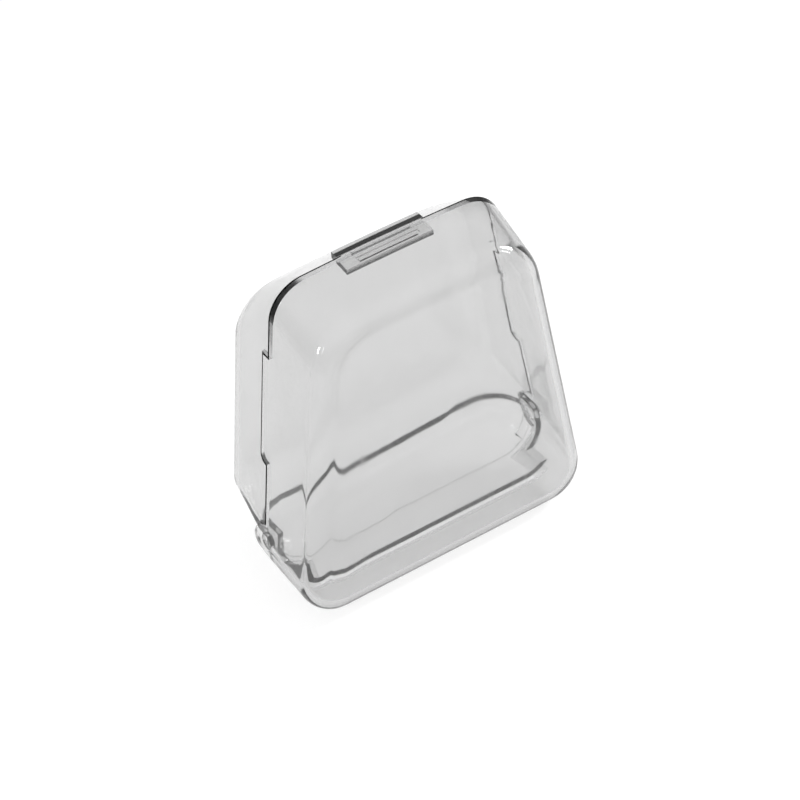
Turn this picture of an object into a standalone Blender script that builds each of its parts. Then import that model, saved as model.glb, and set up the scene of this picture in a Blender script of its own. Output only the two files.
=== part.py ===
"""Guitar pick holder: a clear two-shell box that opens like a clam.

The front shell stands on its flat bottom, behind which the back shell's floor
reaches in.  The back shell swings back on two stub pins near the bottom and
clicks shut with a tongue at the top.
Metres, +Z up, X along the width, the front shell towards -Y.
"""
import math

import bmesh
import bpy

MM = 0.001

# seam outline: a trapezoid with rounded corners
HALF_BOTTOM = 22.5 * MM
HALF_TOP = 16.3 * MM
HEIGHT = 47.0 * MM
SEAM_TOP_RADIUS = 5.0 * MM
SEAM_LOW_RADIUS = 6.8 * MM
TOP_BOW = 0.4 * MM

WALL = 1.1 * MM
GAP = 0.3 * MM
HALF_GAP = GAP / 2

# front shell: drafts over its full depth, then a rounded front edge
FRONT_DEPTH = 10.8 * MM
FRONT_SIDE_DRAFT = 0.5 * MM
FRONT_TOP_DRAFT = 1.2 * MM
FRONT_LOW_DRAFT = 0.0 * MM
FRONT_TOP_RADIUS = 9.0 * MM
FRONT_LOW_RADIUS = 5.2 * MM
FRONT_EDGE = 3.0 * MM

# back shell
BACK_DEPTH = 10.8 * MM
BACK_SIDE_DRAFT = 0.4 * MM
BACK_TOP_DRAFT = 8.2 * MM
BACK_TOP_RADIUS = 6.8 * MM
BACK_LOW_RADIUS = 4.2 * MM
BACK_EDGE = 3.2 * MM

# hinge line, parallel to X in the seam plane
AXIS_Z = 7.5 * MM
PIN_RADIUS = 1.15 * MM
PIN_HOLE_RADIUS = 1.25 * MM
PIN_ROOT_X = 19.65 * MM
PIN_END_X = 21.3 * MM
EAR_RADIUS = 2.6 * MM

# tray, cheeks and roll of the back shell, which slip inside the front shell
LIP_INSET = WALL + GAP
LIP_THICK = 0.8 * MM
LIP_REACH = 1.7 * MM
LIP_ROOT = 2.0 * MM
TRAY_REACH = 4.6 * MM
TRAY_HIGH = 3.0 * MM
CHEEK_HIGH = AXIS_Z + 2.2 * MM
ROLL_INSET = LIP_INSET + 0.04 * MM
ROLL_WALL = 0.8 * MM

# tongue and thumb recess at the top, side tongues
LATCH_HALF = 6.3 * MM
LATCH_REACH = 1.5 * MM
BEAD_HALF = 4.2 * MM
BEAD_RADIUS = 0.35 * MM
BEAD_Y = -0.95 * MM
THUMB_DEPTH = 0.6 * MM
THUMB_SINK = 0.3 * MM
SIDE_TAB_LOW = 20.4 * MM
SIDE_TAB_HIGH = 36.8 * MM
SIDE_TAB_REACH = 1.25 * MM
SIDE_TAB_ROUND = 1.2 * MM

CORNER_STEPS = 12
EDGE_STEPS = 8
TOP_STEPS = 8
ROLL_STEPS = 48
PIN_SIDES = 32


def clear_scene():
    for ob in list(bpy.data.objects):
        bpy.data.objects.remove(ob, do_unlink=True)


def make_collection(name):
    found = bpy.data.collections.new(name)
    bpy.context.scene.collection.children.link(found)
    return found


def plastic(name, colour):
    mat = bpy.data.materials.new(name)
    mat.use_nodes = True
    shader = mat.node_tree.nodes["Principled BSDF"]
    shader.inputs["Base Color"].default_value = (*colour, 1.0)
    shader.inputs["Roughness"].default_value = 0.08
    shader.inputs["Metallic"].default_value = 0.0
    shader.inputs["Transmission Weight"].default_value = 1.0
    shader.inputs["IOR"].default_value = 1.49
    return mat


def outline(section, inset):
    """Rounded trapezoid in the XZ plane, counter-clockwise from low left."""
    half_low, half_high, low, high, r_high, r_low = section
    slope = (half_low - half_high) / (high - low)
    lean = math.sqrt(1.0 + slope * slope)
    z0, z1 = low + inset, high - inset

    def half_at(z):
        return half_low - slope * (z - low) - inset * lean

    corners = [(-half_at(z0), z0, r_low), (half_at(z0), z0, r_low),
               (half_at(z1), z1, r_high), (-half_at(z1), z1, r_high)]
    points = []
    arcs = []
    for i, (x, z, radius) in enumerate(corners):
        radius = max(radius - inset, 0.3 * MM)
        px, pz, _ = corners[i - 1]
        nx, nz, _ = corners[(i + 1) % 4]
        ax, az = px - x, pz - z
        bx, bz = nx - x, nz - z
        la, lb = math.hypot(ax, az), math.hypot(bx, bz)
        ax, az, bx, bz = ax / la, az / la, bx / lb, bz / lb
        angle = math.acos(ax * bx + az * bz)
        reach = radius / math.tan(angle / 2)
        mx, mz = ax + bx, az + bz
        lm = math.hypot(mx, mz)
        cx = x + mx / lm * radius / math.sin(angle / 2)
        cz = z + mz / lm * radius / math.sin(angle / 2)
        start = math.atan2(z + az * reach - cz, x + ax * reach - cx)
        turn = math.pi - angle
        arcs.append([(cx + radius * math.cos(start + turn * k / CORNER_STEPS),
                      cz + radius * math.sin(start + turn * k / CORNER_STEPS))
                     for k in range(CORNER_STEPS + 1)])
    between = (TOP_STEPS, 2, TOP_STEPS, 2)
    for i in range(4):
        points += arcs[i]
        (x0, z0_), (x1, z1_) = arcs[i][-1], arcs[(i + 1) % 4][0]
        for k in range(1, between[i]):
            f = k / between[i]
            points.append((x0 + (x1 - x0) * f, z0_ + (z1_ - z0_) * f))
    middle = (low + high) / 2
    bowed = []
    for x, z in points:
        if z > middle:
            z += TOP_BOW * max(0.0, 1.0 - (x / half_high) ** 2)
        bowed.append((x, z))
    return bowed


def mix(a, b, f):
    return a + (b - a) * f


def front_section(depth):
    f = depth / FRONT_DEPTH
    return (HALF_BOTTOM - FRONT_SIDE_DRAFT * f, HALF_TOP - FRONT_SIDE_DRAFT * f,
            FRONT_LOW_DRAFT * f, HEIGHT - FRONT_TOP_DRAFT * f,
            mix(SEAM_TOP_RADIUS, FRONT_TOP_RADIUS, f),
            mix(SEAM_LOW_RADIUS, FRONT_LOW_RADIUS, f))


def back_section(depth):
    f = depth / BACK_DEPTH
    slope = (HALF_BOTTOM - HALF_TOP) / HEIGHT
    half_low = HALF_BOTTOM - slope * AXIS_Z - BACK_SIDE_DRAFT * f
    high = HEIGHT - BACK_TOP_DRAFT * f
    half_high = HALF_BOTTOM - slope * high - BACK_SIDE_DRAFT * f
    return (half_low, half_high, AXIS_Z, high,
            mix(SEAM_TOP_RADIUS, BACK_TOP_RADIUS, f),
            mix(0.5 * MM, BACK_LOW_RADIUS, min(1.0, f * 1.5)))


def mesh_object(name, bm, collection):
    bmesh.ops.remove_doubles(bm, verts=bm.verts, dist=1e-6)
    bmesh.ops.recalc_face_normals(bm, faces=bm.faces)
    mesh = bpy.data.meshes.new(name)
    bm.to_mesh(mesh)
    bm.free()
    ob = bpy.data.objects.new(name, mesh)
    collection.objects.link(ob)
    return ob


def loft(name, rings, collection):
    """Closed solid through a stack of (y, outline) rings."""
    bm = bmesh.new()
    rows = [[bm.verts.new((x, y, z)) for x, z in points] for y, points in rings]
    count = len(rows[0])
    for row, after in zip(rows, rows[1:]):
        for i in range(count):
            j = (i + 1) % count
            bm.faces.new((row[i], row[j], after[j], after[i]))
    bm.faces.new(list(reversed(rows[0])))
    bm.faces.new(rows[-1])
    return mesh_object(name, bm, collection)


def shell_rings(section, depth, edge, inset, start, direction):
    """Rings of one shell, from its rim to its face, with a rounded edge."""
    rings = []
    for d in (start, 0.0, depth - edge):
        if rings and d <= start:
            continue
        rings.append((direction * d, outline(section(max(d, 0.0)), inset)))
    small = max(edge - inset, 0.5 * MM)
    for k in range(1, EDGE_STEPS + 1):
        a = math.pi / 2 * k / EDGE_STEPS
        d = depth - edge + (edge - inset if edge > inset else 0.0) * math.sin(a)
        rings.append((direction * d,
                      outline(section(d), inset + small * (1 - math.cos(a)))))
    return rings


def box(name, low, high, collection):
    bpy.ops.mesh.primitive_cube_add(size=1.0)
    ob = bpy.context.object
    ob.name = name
    for v in ob.data.vertices:
        v.co = [low[i] if v.co[i] < 0 else high[i] for i in range(3)]
    move_to(ob, collection)
    return ob


def rod(name, radius, x0, x1, y, z, collection, sides=PIN_SIDES):
    """Cylinder along X."""
    bpy.ops.mesh.primitive_cylinder_add(vertices=sides, radius=radius,
                                        depth=x1 - x0)
    ob = bpy.context.object
    ob.name = name
    turn = math.radians(2.5)
    for v in ob.data.vertices:
        a, b, c = v.co
        a, b = (a * math.cos(turn) - b * math.sin(turn),
                a * math.sin(turn) + b * math.cos(turn))
        v.co = (c + (x0 + x1) / 2, a + y, b + z)
    move_to(ob, collection)
    return ob


def prism(name, profile, x0, x1, collection):
    """Flat YZ profile extruded along X."""
    bm = bmesh.new()
    face = bm.faces.new([bm.verts.new((x0, y, z)) for y, z in profile])
    grown = bmesh.ops.extrude_face_region(bm, geom=[face])
    for v in grown["geom"]:
        if isinstance(v, bmesh.types.BMVert):
            v.co.x = x1
    return mesh_object(name, bm, collection)


def barrel(name, inset, collection):
    """Body of revolution about the hinge line, shaped like the low corners."""
    ring = outline((HALF_BOTTOM, HALF_TOP, 0.0, HEIGHT,
                    SEAM_TOP_RADIUS, SEAM_LOW_RADIUS), inset)
    slope = (HALF_BOTTOM - HALF_TOP) / HEIGHT
    end = HALF_BOTTOM - slope * AXIS_Z - inset * math.sqrt(1 + slope * slope)
    under = sorted((x, z) for x, z in ring
                   if z < AXIS_Z - 0.05 * MM and 1e-6 < abs(x) < end)
    path = [(-end, AXIS_Z)] + under + [(end, AXIS_Z)]
    bm = bmesh.new()
    verts = [bm.verts.new((x, 0.0, z - AXIS_Z)) for x, z in path]
    for a, b in zip(verts, verts[1:]):
        bm.edges.new((a, b))
    mesh = bpy.data.meshes.new(name)
    bm.to_mesh(mesh)
    bm.free()
    ob = bpy.data.objects.new(name, mesh)
    collection.objects.link(ob)
    screw = ob.modifiers.new("turn", "SCREW")
    screw.axis = "X"
    screw.angle = math.tau
    screw.steps = ROLL_STEPS
    screw.render_steps = ROLL_STEPS
    screw.use_merge_vertices = True
    screw.merge_threshold = 0.00001
    bake(ob)
    for v in ob.data.vertices:
        v.co.z += AXIS_Z
    bm = bmesh.new()
    bm.from_mesh(ob.data)
    bmesh.ops.remove_doubles(bm, verts=bm.verts, dist=1e-6)
    bmesh.ops.recalc_face_normals(bm, faces=bm.faces)
    bm.to_mesh(ob.data)
    bm.free()
    return ob


def move_to(ob, collection):
    for owner in list(ob.users_collection):
        owner.objects.unlink(ob)
    collection.objects.link(ob)


def bake(ob):
    bpy.ops.object.select_all(action="DESELECT")
    ob.select_set(True)
    bpy.context.view_layer.objects.active = ob
    for mod in list(ob.modifiers):
        bpy.ops.object.modifier_apply(modifier=mod.name)


def combine(target, other, how):
    mod = target.modifiers.new(other.name, "BOOLEAN")
    mod.operation = how
    mod.solver = "EXACT"
    mod.object = other
    bake(target)


def knit(bm):
    """Split every open edge where another open corner lies on it, then weld."""
    loose = [e for e in bm.edges if len(e.link_faces) == 1]
    corners = {v for e in loose for v in e.verts}
    for edge in loose:
        a, b = edge.verts
        line = b.co - a.co
        for v in corners - {a, b}:
            f = (v.co - a.co).dot(line) / line.length_squared
            if 0.001 < f < 0.999 and (a.co + line * f - v.co).length < 2e-7:
                added = bmesh.utils.edge_split(edge, a, f)[1]
                added.co = v.co
                break
    bmesh.ops.remove_doubles(bm, verts=bm.verts, dist=2e-7)


def finish(ob, material):
    bm = bmesh.new()
    bm.from_mesh(ob.data)
    knit(bm)
    bmesh.ops.remove_doubles(bm, verts=bm.verts, dist=2e-6)
    bmesh.ops.dissolve_degenerate(bm, edges=bm.edges, dist=2e-6)
    bmesh.ops.recalc_face_normals(bm, faces=bm.faces)
    bm.to_mesh(ob.data)
    bm.free()
    ob.data.materials.clear()
    ob.data.materials.append(material)
    ob.data.shade_smooth()
    ob.data.set_sharp_from_angle(angle=math.radians(35))


clear_scene()
holder = make_collection("pick holder")
cutters = make_collection("cutters")

SEAM = front_section(0.0)
FAR = 30 * MM

# wall stock shared by the ears and side tongues: a ring that carries the
# front shell's wall on past the seam
ring_stock = loft("ring_stock", [(-2.5 * MM, outline(front_section(2.5 * MM), 0.0)),
                                 (0.0, outline(SEAM, 0.0)),
                                 (3.2 * MM, outline(SEAM, 0.0))], cutters)
ring_core = loft("ring_core", [(-3.0 * MM, outline(front_section(3.0 * MM), WALL)),
                               (0.0, outline(SEAM, WALL)),
                               (4.0 * MM, outline(SEAM, WALL))], cutters)
combine(ring_stock, ring_core, "DIFFERENCE")


def side_tab_profile(grow):
    """YZ shape of a side tongue: square at the top, rounded at the bottom."""
    low, high = SIDE_TAB_LOW - grow, SIDE_TAB_HIGH + grow
    reach = SIDE_TAB_REACH + grow
    r = SIDE_TAB_ROUND
    arc = [(reach - r + r * math.cos(a), low + r + r * math.sin(a))
           for a in [-math.pi / 2 + math.pi / 2 * k / 5 for k in range(6)]]
    return [(-1.2 * MM, low)] + arc + [(reach, high), (-1.2 * MM, high)]


tabs = rod("tab_stock", EAR_RADIUS, -FAR, FAR, 0.0, AXIS_Z, cutters)
side_bar = prism("side_bar", side_tab_profile(0.0), -FAR, FAR, cutters)
combine(tabs, side_bar, "UNION")
combine(tabs, ring_stock, "INTERSECT")

# ---- front shell ----
front = loft("front_shell",
             shell_rings(front_section, FRONT_DEPTH, FRONT_EDGE, 0.0, HALF_GAP, -1),
             holder)
front_room = loft("front_room",
                  shell_rings(front_section, FRONT_DEPTH, FRONT_EDGE, WALL,
                              -2.0 * MM, -1), cutters)
combine(front, front_room, "DIFFERENCE")
combine(front, tabs, "UNION")
pin_hole = rod("pin_hole", PIN_HOLE_RADIUS, -FAR, FAR, 0.0, AXIS_Z, cutters)
combine(front, pin_hole, "DIFFERENCE")
roof = HEIGHT + TOP_BOW - FRONT_TOP_DRAFT * (-BEAD_Y / FRONT_DEPTH)
groove = rod("bead_groove", BEAD_RADIUS + 0.15 * MM, -BEAD_HALF - GAP,
             BEAD_HALF + GAP, BEAD_Y, roof - WALL - 0.35 * MM, cutters, 24)
combine(front, groove, "DIFFERENCE")
floor_slot = box("floor_slot", (-FAR, -TRAY_REACH - GAP, -MM),
                 (FAR, MM, WALL + HALF_GAP), cutters)
combine(front, floor_slot, "DIFFERENCE")

# ---- back shell ----
back = loft("back_shell",
            shell_rings(back_section, BACK_DEPTH, BACK_EDGE, 0.0, HALF_GAP, 1),
            holder)
roll = barrel("roll", ROLL_INSET, cutters)
roll_trim = box("roll_trim", (-FAR, -FAR, -FAR), (FAR, -0.2 * MM, FAR), cutters)
combine(roll, roll_trim, "DIFFERENCE")
combine(back, roll, "UNION")
back_room = loft("back_room",
                 shell_rings(back_section, BACK_DEPTH, BACK_EDGE, WALL, -MM, 1),
                 cutters)
combine(back, back_room, "DIFFERENCE")
roll_room = barrel("roll_room", ROLL_INSET + ROLL_WALL, cutters)
combine(back, roll_room, "DIFFERENCE")

# recesses in the rim for the ears and side tongues
recess = rod("rim_recess", EAR_RADIUS + GAP, -FAR, FAR, 0.0, AXIS_Z, cutters)
recess_bar = prism("recess_bar", side_tab_profile(GAP), -FAR, FAR, cutters)
combine(recess, recess_bar, "UNION")
recess_core = loft("recess_core",
                   [(-4.0 * MM, outline(front_section(LIP_REACH), LIP_INSET)),
                    (-LIP_REACH, outline(front_section(LIP_REACH), LIP_INSET)),
                    (0.0, outline(SEAM, LIP_INSET)),
                    (4.5 * MM, outline(SEAM, LIP_INSET))], cutters)
combine(recess, recess_core, "DIFFERENCE")
combine(back, recess, "DIFFERENCE")

# the floor's tray reaches forward over the front shell's floor; beside the
# pins it turns up into two short cheeks
lip_inner = LIP_INSET + LIP_THICK
mouth = loft("mouth", [(-6.0 * MM, outline(front_section(6.0 * MM), lip_inner)),
                       (0.0, outline(SEAM, lip_inner)),
                       (3.0 * MM, outline(SEAM, lip_inner))], cutters)
tray = loft("tray", [(-TRAY_REACH, outline(front_section(TRAY_REACH), LIP_INSET)),
                     (0.0, outline(SEAM, LIP_INSET)),
                     (1.5 * MM, outline(SEAM, LIP_INSET))], cutters)
above = box("above", (-FAR, -FAR, CHEEK_HIGH), (FAR, FAR, 60 * MM), cutters)
before = box("before", (-FAR, -FAR, TRAY_HIGH), (FAR, -LIP_REACH, 60 * MM), cutters)
combine(tray, above, "DIFFERENCE")
combine(tray, before, "DIFFERENCE")
behind = box("behind", (-FAR, 0.3 * MM, -FAR), (FAR, FAR, TRAY_HIGH), cutters)
combine(tray, behind, "DIFFERENCE")
combine(tray, mouth, "DIFFERENCE")
for side, tag in ((-1, "left"), (1, "right")):
    x0, x1 = sorted((side * PIN_ROOT_X, side * PIN_END_X))
    pin = rod("pin_" + tag, PIN_RADIUS, x0, x1, 0.0, AXIS_Z, cutters)
    combine(tray, pin, "UNION")
combine(back, tray, "UNION")

tongue = loft("tongue", [(-LATCH_REACH, outline(front_section(LATCH_REACH), LIP_INSET)),
                         (0.25 * MM, outline(SEAM, LIP_INSET)),
                         (0.25 * MM, outline(SEAM, WALL / 2)),
                         (LIP_ROOT, outline(SEAM, WALL / 2))], cutters)
latch_width = box("latch_width", (-LATCH_HALF, -FAR, 40 * MM),
                  (LATCH_HALF, FAR, 61 * MM), cutters)
combine(tongue, latch_width, "INTERSECT")
combine(tongue, mouth, "DIFFERENCE")
bead = rod("bead", BEAD_RADIUS, -BEAD_HALF, BEAD_HALF, BEAD_Y,
           roof - LIP_INSET - BEAD_RADIUS + 0.17 * MM, cutters, 24)
combine(tongue, bead, "UNION")
combine(back, tongue, "UNION")

thumb = prism("thumb_recess",
              [(-0.5 * MM, HEIGHT + TOP_BOW - THUMB_SINK),
               (THUMB_DEPTH, HEIGHT + TOP_BOW - THUMB_SINK),
               (THUMB_DEPTH + 0.5 * MM, HEIGHT + 2 * MM),
               (-0.5 * MM, HEIGHT + 2 * MM)],
              -LATCH_HALF + 0.3 * MM, LATCH_HALF - 0.3 * MM, cutters)
combine(back, thumb, "DIFFERENCE")

finish(front, plastic("front clear plastic", (0.93, 0.94, 0.95)))
finish(back, plastic("back clear plastic", (0.93, 0.94, 0.95)))

# the back shell's origin sits on the hinge line
for v in back.data.vertices:
    v.co.z -= AXIS_Z
back.location = (0.0, 0.0, AXIS_Z)

for ob in cutters.objects:
    ob.hide_render = True
    ob.display_type = "WIRE"
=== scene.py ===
import math

import bpy
from mathutils import Matrix, Vector


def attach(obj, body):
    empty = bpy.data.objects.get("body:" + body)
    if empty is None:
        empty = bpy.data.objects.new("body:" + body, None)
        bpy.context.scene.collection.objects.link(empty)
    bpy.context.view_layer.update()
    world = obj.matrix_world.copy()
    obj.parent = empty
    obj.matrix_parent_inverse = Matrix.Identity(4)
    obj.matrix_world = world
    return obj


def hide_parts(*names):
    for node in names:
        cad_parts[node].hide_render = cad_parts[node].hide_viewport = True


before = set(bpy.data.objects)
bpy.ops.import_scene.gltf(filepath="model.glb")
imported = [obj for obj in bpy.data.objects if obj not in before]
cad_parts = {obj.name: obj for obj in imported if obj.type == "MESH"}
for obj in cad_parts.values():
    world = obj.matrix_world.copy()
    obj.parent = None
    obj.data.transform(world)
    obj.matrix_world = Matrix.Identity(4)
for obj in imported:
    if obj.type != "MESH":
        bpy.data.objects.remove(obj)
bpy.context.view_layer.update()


# ---- Camera ----
# The box is looked at from its front left and from well above, a little tilted,
# through a long lens.
middle = Vector((0.0, 0.0, 0.0235))
camera_azimuth = math.radians(-29.455)
camera_height = math.radians(42.025)
camera_tilt = math.radians(-5.456)
camera_distance = 0.400987
camera_slide = Vector((-0.000423, 0.002345))
camera_lens = 141.935

towards = Vector((math.sin(camera_azimuth) * math.cos(camera_height),
                  -math.cos(camera_azimuth) * math.cos(camera_height),
                  math.sin(camera_height)))
level = Vector((math.cos(camera_azimuth), math.sin(camera_azimuth), 0.0))
upward = towards.cross(level)
across = level * math.cos(camera_tilt) + upward * math.sin(camera_tilt)
upward = towards.cross(across)
lens = bpy.data.cameras.new("camera")
lens.lens = camera_lens
lens.clip_start = 0.01
camera = bpy.data.objects.new("camera", lens)
camera.matrix_world = Matrix.Translation(
    middle + towards * camera_distance
    - across * camera_slide.x - upward * camera_slide.y
) @ Matrix((across, upward, towards)).transposed().to_4x4()
bpy.context.scene.collection.objects.link(camera)
bpy.context.scene.camera = camera


# ---- Studio ----
# A white table that glows, brightest under the box and fading outwards: a painted pool
# of light that also washes out the clear box's shadow. It stands in a bright room, with
# a small soft box to the left and a tall one to the right.
table_size = 6.0
table_drop = 0.0002
paper_grey = (0.2, 0.2, 0.2, 1.0)
paper_roughness = 0.9
glow_strength = 0.84
painted_pool_full_reach, painted_pool_edge_reach = 0.11, 0.24
painted_pool_edge_level = 0.25
bpy.ops.mesh.primitive_plane_add(size=table_size, location=(0.0, 0.0, -table_drop))
table = bpy.context.object
table.name = "table"
paper = bpy.data.materials.new("white paper with painted light pool")
paper.use_nodes = True
tree = paper.node_tree
shader = tree.nodes["Principled BSDF"]
shader.inputs["Base Color"].default_value = paper_grey
shader.inputs["Roughness"].default_value = paper_roughness
shader.inputs["Emission Strength"].default_value = glow_strength
# the emission colour is a painted pool of light: full within 0.11 m of the table's
# middle, falling smoothly to a quarter by 0.24 m
where = tree.nodes.new("ShaderNodeTexCoord")
distance = tree.nodes.new("ShaderNodeVectorMath")
distance.operation = "LENGTH"
pool_of_light = tree.nodes.new("ShaderNodeMapRange")
pool_of_light.interpolation_type = "SMOOTHSTEP"
pool_of_light.inputs["From Min"].default_value = painted_pool_full_reach
pool_of_light.inputs["From Max"].default_value = painted_pool_edge_reach
pool_of_light.inputs["To Min"].default_value = 1.0
pool_of_light.inputs["To Max"].default_value = painted_pool_edge_level
tree.links.new(where.outputs["Object"], distance.inputs[0])
tree.links.new(distance.outputs["Value"], pool_of_light.inputs["Value"])
tree.links.new(pool_of_light.outputs["Result"], shader.inputs["Emission Color"])
table.data.materials.append(paper)

room = bpy.data.worlds.new("bright room")
bpy.context.scene.world = room
room.use_nodes = True
sky = room.node_tree
direction = sky.nodes.new("ShaderNodeTexCoord")
height = sky.nodes.new("ShaderNodeSeparateXYZ")
wall_to_ceiling = sky.nodes.new("ShaderNodeValToRGB")
wall_grey, ceiling_white = (0.42, 0.42, 0.42, 1.0), (0.92, 0.92, 0.92, 1.0)
wall_top, ceiling_start = 0.22, 0.55
room_strength = 0.95
wall_to_ceiling.color_ramp.elements[0].position = wall_top
wall_to_ceiling.color_ramp.elements[0].color = wall_grey
wall_to_ceiling.color_ramp.elements[1].position = ceiling_start
wall_to_ceiling.color_ramp.elements[1].color = ceiling_white
sky.links.new(direction.outputs["Generated"], height.inputs["Vector"])
sky.links.new(height.outputs["Z"], wall_to_ceiling.inputs["Fac"])
sky.links.new(wall_to_ceiling.outputs["Color"], sky.nodes["Background"].inputs["Color"])
sky.nodes["Background"].inputs["Strength"].default_value = room_strength

bpy.context.scene.view_settings.view_transform = "Standard"


def soft_lamp(name, side, width, height, power, reach=0.5):
    """A soft box in the direction side, turned to face the box."""
    place = Vector(side).normalized() * reach + middle
    light = bpy.data.lights.new(name, "AREA")
    light.shape = "RECTANGLE"
    light.size = width
    light.size_y = height
    light.energy = power
    lamp = bpy.data.objects.new(name, light)
    aim = (middle - place).to_track_quat("-Z", "Y").to_matrix().to_4x4()
    lamp.matrix_world = Matrix.Translation(place) @ aim
    bpy.context.scene.collection.objects.link(lamp)


soft_lamp("left lamp", (-0.931, -0.084, 0.356), width=0.05, height=0.07, power=0.55)
soft_lamp("right lamp", (0.914, -0.041, 0.404), width=0.05, height=0.16, power=2.4)


# ---- Front shell ----
# One moulding in clear plastic, about a millimetre thick. It carries the ears with
# the pin holes, the side tongues and the narrow flat face below.
crease_angle = math.radians(32)
merge_distance = 0.000001


def moulded_copy(node, name):
    """A copy of a CAD shell, merged and shaded smooth up to its creases."""
    bpy.ops.object.select_all(action="DESELECT")
    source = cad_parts[node]
    piece = source.copy()
    piece.data = source.data.copy()
    piece.name = piece.data.name = name
    piece.parent = None
    bpy.context.scene.collection.objects.link(piece)
    for key in list(piece.keys()):
        del piece[key]
    piece.select_set(True)
    bpy.context.view_layer.objects.active = piece
    bpy.ops.object.mode_set(mode="EDIT")
    bpy.ops.mesh.select_all(action="SELECT")
    bpy.ops.mesh.remove_doubles(threshold=merge_distance)
    bpy.ops.object.mode_set(mode="OBJECT")
    bpy.ops.mesh.customdata_custom_splitnormals_clear()
    bpy.ops.object.shade_smooth_by_angle(angle=crease_angle)
    return piece


def socket(group, name, kind, way, value=None):
    made = group.interface.new_socket(name=name, in_out=way, socket_type=kind)
    if value is not None:
        made.default_value = value


def join(tree, source, output, target, entry):
    tree.links.new(source.outputs[output], target.inputs[entry])


# what moulding and handling leave in clear plastic: slow waves where the melt
# flowed, a little cloudiness, and hairline scratches
scratch_turn = (0.3, 0.5, 0.2)
scratch_stretch = (1.0, 1.0, 0.06)
faintest_scratch, deepest_scratch = 0.60, 0.75
marks = bpy.data.node_groups.new("moulding and handling marks", "ShaderNodeTree")
socket(marks, "Flow Scale", "NodeSocketFloat", "INPUT", 110.0)
socket(marks, "Cloudiness", "NodeSocketFloat", "INPUT", 0.02)
socket(marks, "Scratch Scale", "NodeSocketFloat", "INPUT", 900.0)
socket(marks, "Scratches", "NodeSocketFloat", "INPUT", 0.05)
socket(marks, "Clear", "NodeSocketColor", "INPUT", (0.93, 0.93, 0.93, 1.0))
socket(marks, "Cloudy", "NodeSocketColor", "INPUT", (0.89, 0.89, 0.89, 1.0))
socket(marks, "Color", "NodeSocketColor", "OUTPUT")
socket(marks, "Roughness", "NodeSocketFloat", "OUTPUT")
socket(marks, "Height", "NodeSocketFloat", "OUTPUT")
entry = marks.nodes.new("NodeGroupInput")
result = marks.nodes.new("NodeGroupOutput")
place = marks.nodes.new("ShaderNodeTexCoord")

flow = marks.nodes.new("ShaderNodeTexNoise")
flow.inputs["Detail"].default_value = 2.0
flow.inputs["Distortion"].default_value = 0.6
join(marks, place, "Object", flow, "Vector")
join(marks, entry, "Flow Scale", flow, "Scale")
tint = marks.nodes.new("ShaderNodeMix")
tint.data_type = "RGBA"
marks.links.new(flow.outputs["Fac"], tint.inputs[0])
marks.links.new(entry.outputs["Clear"], tint.inputs[6])
marks.links.new(entry.outputs["Cloudy"], tint.inputs[7])
marks.links.new(tint.outputs[2], result.inputs["Color"])

stretch = marks.nodes.new("ShaderNodeMapping")
stretch.inputs["Rotation"].default_value = scratch_turn
stretch.inputs["Scale"].default_value = scratch_stretch
join(marks, place, "Object", stretch, "Vector")
hairlines = marks.nodes.new("ShaderNodeTexNoise")
hairlines.inputs["Detail"].default_value = 3.0
join(marks, stretch, "Vector", hairlines, "Vector")
join(marks, entry, "Scratch Scale", hairlines, "Scale")
fine = marks.nodes.new("ShaderNodeMapRange")
fine.inputs["From Min"].default_value = faintest_scratch
fine.inputs["From Max"].default_value = deepest_scratch
join(marks, hairlines, "Fac", fine, "Value")
scratched = marks.nodes.new("ShaderNodeMath")
scratched.operation = "MULTIPLY"
marks.links.new(fine.outputs["Result"], scratched.inputs[0])
marks.links.new(entry.outputs["Scratches"], scratched.inputs[1])
cloud = marks.nodes.new("ShaderNodeMath")
cloud.operation = "MULTIPLY"
marks.links.new(flow.outputs["Fac"], cloud.inputs[0])
marks.links.new(entry.outputs["Cloudiness"], cloud.inputs[1])
total = marks.nodes.new("ShaderNodeMath")
total.operation = "ADD"
marks.links.new(cloud.outputs[0], total.inputs[0])
marks.links.new(scratched.outputs[0], total.inputs[1])
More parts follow.
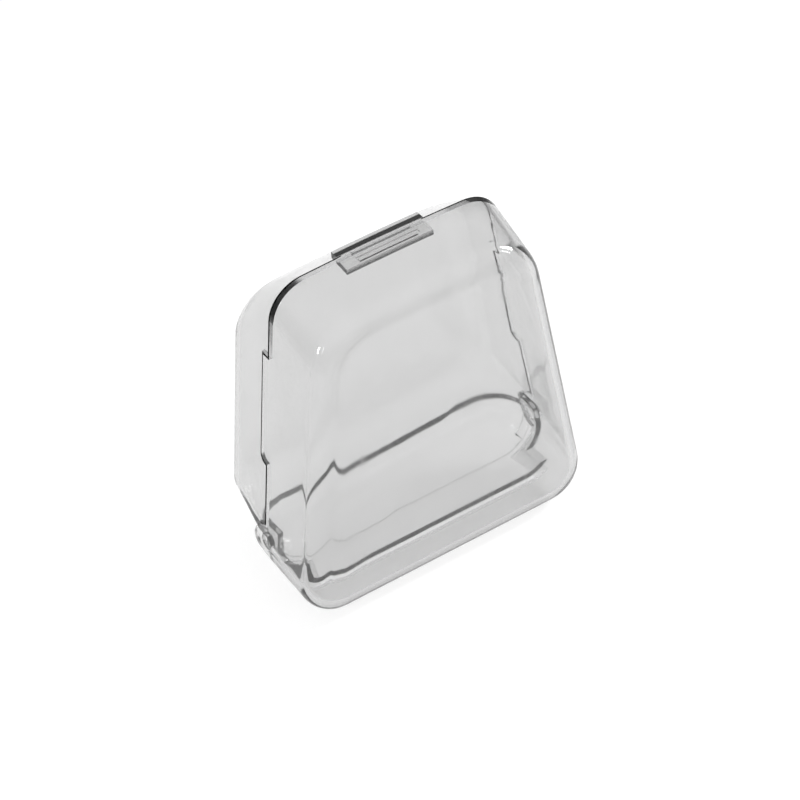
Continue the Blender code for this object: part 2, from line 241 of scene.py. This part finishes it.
marks.links.new(total.outputs[0], result.inputs["Roughness"])
marks.links.new(flow.outputs["Fac"], result.inputs["Height"])


refraction = 1.49
body_grey = (0.5, 0.5, 0.5, 1.0)
body_density = 250.0
wave_depth = 0.00002


def clear_plastic(name, flow_scale, cloudiness, scratches):
    """Polished clear moulding, greyed by its own thickness."""
    material = bpy.data.materials.new(name)
    material.use_nodes = True
    tree = material.node_tree
    shader = tree.nodes["Principled BSDF"]
    shader.inputs["IOR"].default_value = refraction
    shader.inputs["Metallic"].default_value = 0.0
    shader.inputs["Transmission Weight"].default_value = 1.0
    left = tree.nodes.new("ShaderNodeGroup")
    left.node_tree = marks
    left.inputs["Flow Scale"].default_value = flow_scale
    left.inputs["Cloudiness"].default_value = cloudiness
    left.inputs["Scratches"].default_value = scratches
    join(tree, left, "Color", shader, "Base Color")
    join(tree, left, "Roughness", shader, "Roughness")
    waves = tree.nodes.new("ShaderNodeBump")
    waves.inputs["Distance"].default_value = wave_depth
    join(tree, left, "Height", waves, "Height")
    join(tree, waves, "Normal", shader, "Normal")
    body_tint = tree.nodes.new("ShaderNodeVolumeAbsorption")
    body_tint.inputs["Color"].default_value = body_grey
    body_tint.inputs["Density"].default_value = body_density
    join(tree, body_tint, "Volume", tree.nodes["Material Output"], "Volume")
    return material


front_moulding = moulded_copy("front_shell", "front_shell_moulding")
front_moulding.data.materials.clear()
front_moulding.data.materials.append(
    clear_plastic("front clear plastic", flow_scale=110.0, cloudiness=0.11,
                  scratches=0.05))
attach(front_moulding, "front")
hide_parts("front_shell")


# ---- Back shell ----
# The other half, moulded in the same clear plastic and swinging on two stub pins.
# Its floor tray, pin cheeks and latch tongue are moulded in one with it. Its flow
# marks are a little broader than the front shell's, so that the two don't match.
back_moulding = moulded_copy("back_shell", "back_shell_moulding")
back_moulding.data.materials.clear()
back_moulding.data.materials.append(
    clear_plastic("back clear plastic", flow_scale=85.0, cloudiness=0.15,
                  scratches=0.04))
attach(back_moulding, "back")
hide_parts("back_shell")
